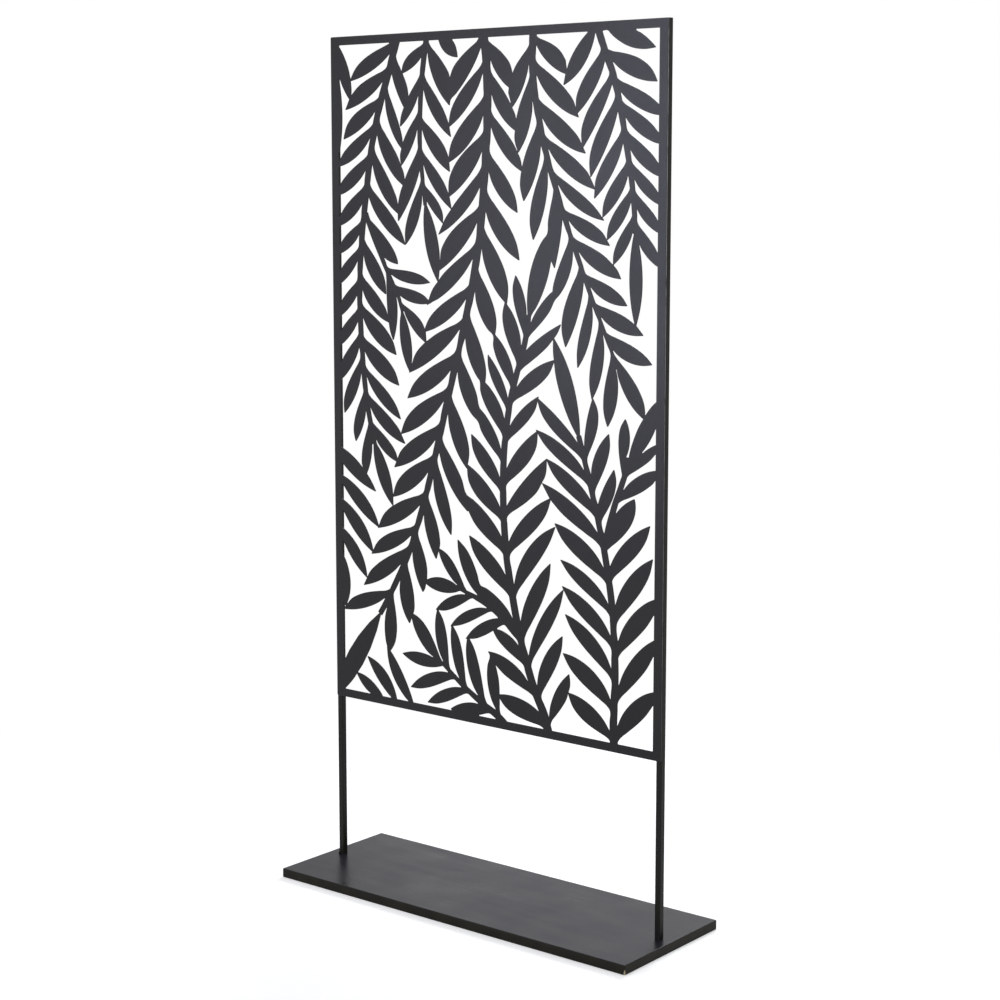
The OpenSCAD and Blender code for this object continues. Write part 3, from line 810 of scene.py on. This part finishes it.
def ground_tray(name, low, high):
    """A tray that stands open side down, crisp but rounded outside and square inside.

    Its faces are sorted at the end, because the steps before leave them in a chance order.
    """
    tray = bmesh.new()
    bmesh.ops.create_cube(tray, size=1)
    for vertex in tray.verts:
        vertex.co = [low[axis] if vertex.co[axis] < 0 else high[axis] for axis in range(3)]
    open_side = [face for face in tray.faces if face.normal.z < -FACING]
    bmesh.ops.delete(tray, geom=open_side, context="FACES_ONLY")
    folds = [edge for edge in tray.edges if not edge.is_boundary]
    bmesh.ops.bevel(
        tray,
        geom=folds,
        offset=GROUND_EDGE,
        segments=GROUND_EDGE_STEPS,
        profile=0.5,
        affect="EDGES",
    )
    rim = [edge for edge in tray.edges if edge.is_boundary]
    for level in (low.z, high.z - BASE_SHEET):
        pulled = bmesh.ops.extrude_edge_only(tray, edges=rim)["geom"]
        rim = [part for part in pulled if isinstance(part, bmesh.types.BMEdge)]
        for vertex in {vertex for edge in rim for vertex in edge.verts}:
            for axis in range(2):
                inner_low = low[axis] + BASE_SHEET
                inner_high = high[axis] - BASE_SHEET
                vertex.co[axis] = min(max(vertex.co[axis], inner_low), inner_high)
            vertex.co.z = level
    bmesh.ops.remove_doubles(tray, verts=tray.verts, dist=MERGE_REACH)
    bmesh.ops.holes_fill(tray, edges=tray.edges, sides=0)
    bmesh.ops.recalc_face_normals(tray, faces=tray.faces)
    tray.verts.index_update()
    points = [tuple(vertex.co) for vertex in tray.verts]
    faces = []
    for face in tray.faces:
        corners = [vertex.index for vertex in face.verts]
        first = corners.index(min(corners))
        faces.append(corners[first:] + corners[:first])
    tray.free()
    return shaded_solid(name, points, sorted(faces), crisp_shading)


def add_worn_corner(material, corner):
    """Bare patch on a coat: a ragged streak up an upright edge, widest at the bottom."""
    tree = material.node_tree
    place = tree.nodes.new("ShaderNodeTexCoord").outputs["Object"]
    where = new_node(tree, "ShaderNodeSeparateXYZ", {"Vector": place}).outputs
    aside, along, up = (
        join(tree, "SUBTRACT", where[axis], start) for axis, start in zip("XYZ", corner)
    )
    away = join(tree, "ADD", join(tree, "ABSOLUTE", aside), join(tree, "ABSOLUTE", along))
    left_to_climb = join(tree, "SUBTRACT", 1, join(tree, "DIVIDE", up, WORN_HEIGHT))
    reach = join(tree, "MULTIPLY", left_to_climb, WORN_WIDTH)
    rag = join(tree, "MULTIPLY", speckled(tree, place, WORN_RAG_SCALE), WORN_RAGGEDNESS)
    inside = join(tree, "SUBTRACT", join(tree, "ADD", reach, rag), away)
    show_through(material, ranged(tree, inside, (0, WORN_SOFTNESS)), WORN_COLOUR)


# The top's copy of the coat, tinted blue as a painted cool sheen.
base_top_coat_painted_cool_sheen = coated_material(
    "base_top_coat_painted_cool_sheen",
    coat=(0.0104, 0.0102, 0.0142),
    cloud_size=0.10,
    cloud_strength=0.8,
    gloss=(0.22, 0.40),
    specular=0.10,
    peel_height=0.00003,
)
# The sides' copy of the coat, tinted brown as a painted warm reflection. The worn corner on it is
# real wear.
base_side_coat_painted_warm_reflection = coated_material(
    "base_side_coat_painted_warm_reflection",
    coat=(0.0118, 0.0108, 0.0070),
    cloud_size=0.05,
    cloud_strength=0.5,
    gloss=(0.34, 0.48),
    specular=0.09,
    peel_height=0.00008,
)
add_worn_corner(base_side_coat_painted_warm_reflection, Vector((base_high.x, base_low.y, base_low.z)))
base_tray = ground_tray("base_tray", base_low, base_high)
base_tray.data.materials.append(base_top_coat_painted_cool_sheen)
base_tray.data.materials.append(base_side_coat_painted_warm_reflection)
# Upward faces take the cool-tinted copy and the rest the warm-tinted one, so the painted
# reflection goes by face direction.
for face in base_tray.data.polygons:
    face.material_index = 0 if face.normal.z > UPWARD else 1
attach(base_tray, "root")
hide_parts("base_pan")


# ---------------------------------------------------------------- Bars under the posts
# Flat steel bars across the underside of the base, which spread the pull of the posts. Each is
# held by short beads along its two long sides and was coated with the base.
BEADS_PER_BAR = 4


def dress(node, material):
    for material_slot in nodes[node].material_slots:
        material_slot.material = material


bar_seams = []
for bar in ("stiffener_left", "stiffener_right"):
    dress(bar, base_side_coat_painted_warm_reflection)
    bar_low, bar_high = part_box(bar)
    level = bar_high.z - bead_seat
    for x in (bar_low.x - bead_seat, bar_high.x + bead_seat):
        for y in spread(bar_low.y, bar_high.y, BEADS_PER_BAR):
            bar_seams.append(((x, y - half_bead, level), (x, y + half_bead, level)))
weld_beads(
    "bar_weld_beads", bar_seams, BEAD_RADIUS, BEAD_RIPPLE, base_side_coat_painted_warm_reflection
)


# ---------------------------------------------------------------- Tacks at the left post's foot
# Two blobs of weld metal on the outer side of the left post, one at the base and one just above.
# They show in the photograph as small bumps under the coat.
TACKS = (
    # y, height above the post's foot, radius
    (-0.0054, 0.0012, 0.0028),
    (-0.0050, 0.0072, 0.0021),
)
TACK_FLATNESS = 0.8
TACK_UNEVENNESS = 0.12
TACK_RIPPLES = (2900, 1700)
TACK_SMOOTHNESS = 4

left_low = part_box("post_left")[0]
tack_lumps = bmesh.new()
for y, height, radius in TACKS:
    lump = bmesh.ops.create_icosphere(tack_lumps, subdivisions=TACK_SMOOTHNESS, radius=radius)
    for vertex in lump["verts"]:
        phase = vertex.co.y * TACK_RIPPLES[0] + vertex.co.z * TACK_RIPPLES[1]
        ragged = 1 + TACK_UNEVENNESS * math.sin(phase)
        vertex.co = (
            left_low.x + vertex.co.x * TACK_FLATNESS * ragged,
            y + vertex.co.y * ragged,
            left_low.z + height + vertex.co.z * ragged,
        )
tack_mesh = bpy.data.meshes.new("foot_tacks")
tack_lumps.to_mesh(tack_mesh)
tack_lumps.free()
tack_mesh.shade_smooth()
tack_mesh.materials.append(frame_coat)
foot_tacks = placed("foot_tacks", tack_mesh)
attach(foot_tacks, "root")


# ---------------------------------------------------------------- Bolts and washers
# A hexagon bolt with a flat and a spring washer pulls each post down on the base from below.
# These, the tapped plugs in the posts and the studs of the feet are bright zinc plated steel.
ZINC_DULL = (0.50, 0.50, 0.49, 1)
ZINC_BRIGHT = (0.66, 0.66, 0.66, 1)
ZINC_SPANGLE_SCALE = 900
ZINC_ROUGHNESS = (0.25, 0.42)


def plated_material():
    material = bpy.data.materials.new("zinc_plating")
    material.use_nodes = True
    tree = material.node_tree
    place = tree.nodes.new("ShaderNodeTexCoord").outputs["Object"]
    spangle = new_node(
        tree, "ShaderNodeTexVoronoi", {"Vector": place, "Scale": ZINC_SPANGLE_SCALE}
    )
    shader = tree.nodes["Principled BSDF"]
    shader.inputs["Metallic"].default_value = 1
    tint = tinted(tree, spangle.outputs["Color"], ZINC_DULL, ZINC_BRIGHT)
    tree.links.new(tint, shader.inputs["Base Color"])
    rough = ranged(tree, spangle.outputs["Distance"], result=ZINC_ROUGHNESS)
    tree.links.new(rough, shader.inputs["Roughness"])
    return material


zinc_plating = plated_material()
for fixing in ("post_bolts", "flat_washers", "spring_washers", "foot_studs", "post_plugs"):
    dress(fixing, zinc_plating)


# ---------------------------------------------------------------- Feet
# Black moulded rubber discs, screwed onto the studs. They are just deeper than the tray, so that
# the base stands clear of the floor.
RUBBER_DARK = (0.012, 0.012, 0.012, 1)
RUBBER_WORN = (0.03, 0.03, 0.03, 1)
RUBBER_ROUGHNESS = 0.75
RUBBER_GRAIN_SCALE = 600
RUBBER_GRAIN_HEIGHT = 0.0002


def rubber_material():
    material = bpy.data.materials.new("foot_rubber")
    material.use_nodes = True
    tree = material.node_tree
    place = tree.nodes.new("ShaderNodeTexCoord").outputs["Object"]
    grain = speckled(tree, place, RUBBER_GRAIN_SCALE, detail=4)
    bump = new_node(
        tree, "ShaderNodeBump", {"Distance": RUBBER_GRAIN_HEIGHT, "Height": grain}
    )
    shader = tree.nodes["Principled BSDF"]
    shader.inputs["Roughness"].default_value = RUBBER_ROUGHNESS
    tint = tinted(tree, grain, RUBBER_DARK, RUBBER_WORN)
    tree.links.new(tint, shader.inputs["Base Color"])
    tree.links.new(bump.outputs["Normal"], shader.inputs["Normal"])
    return material


dress("rubber_feet", rubber_material())
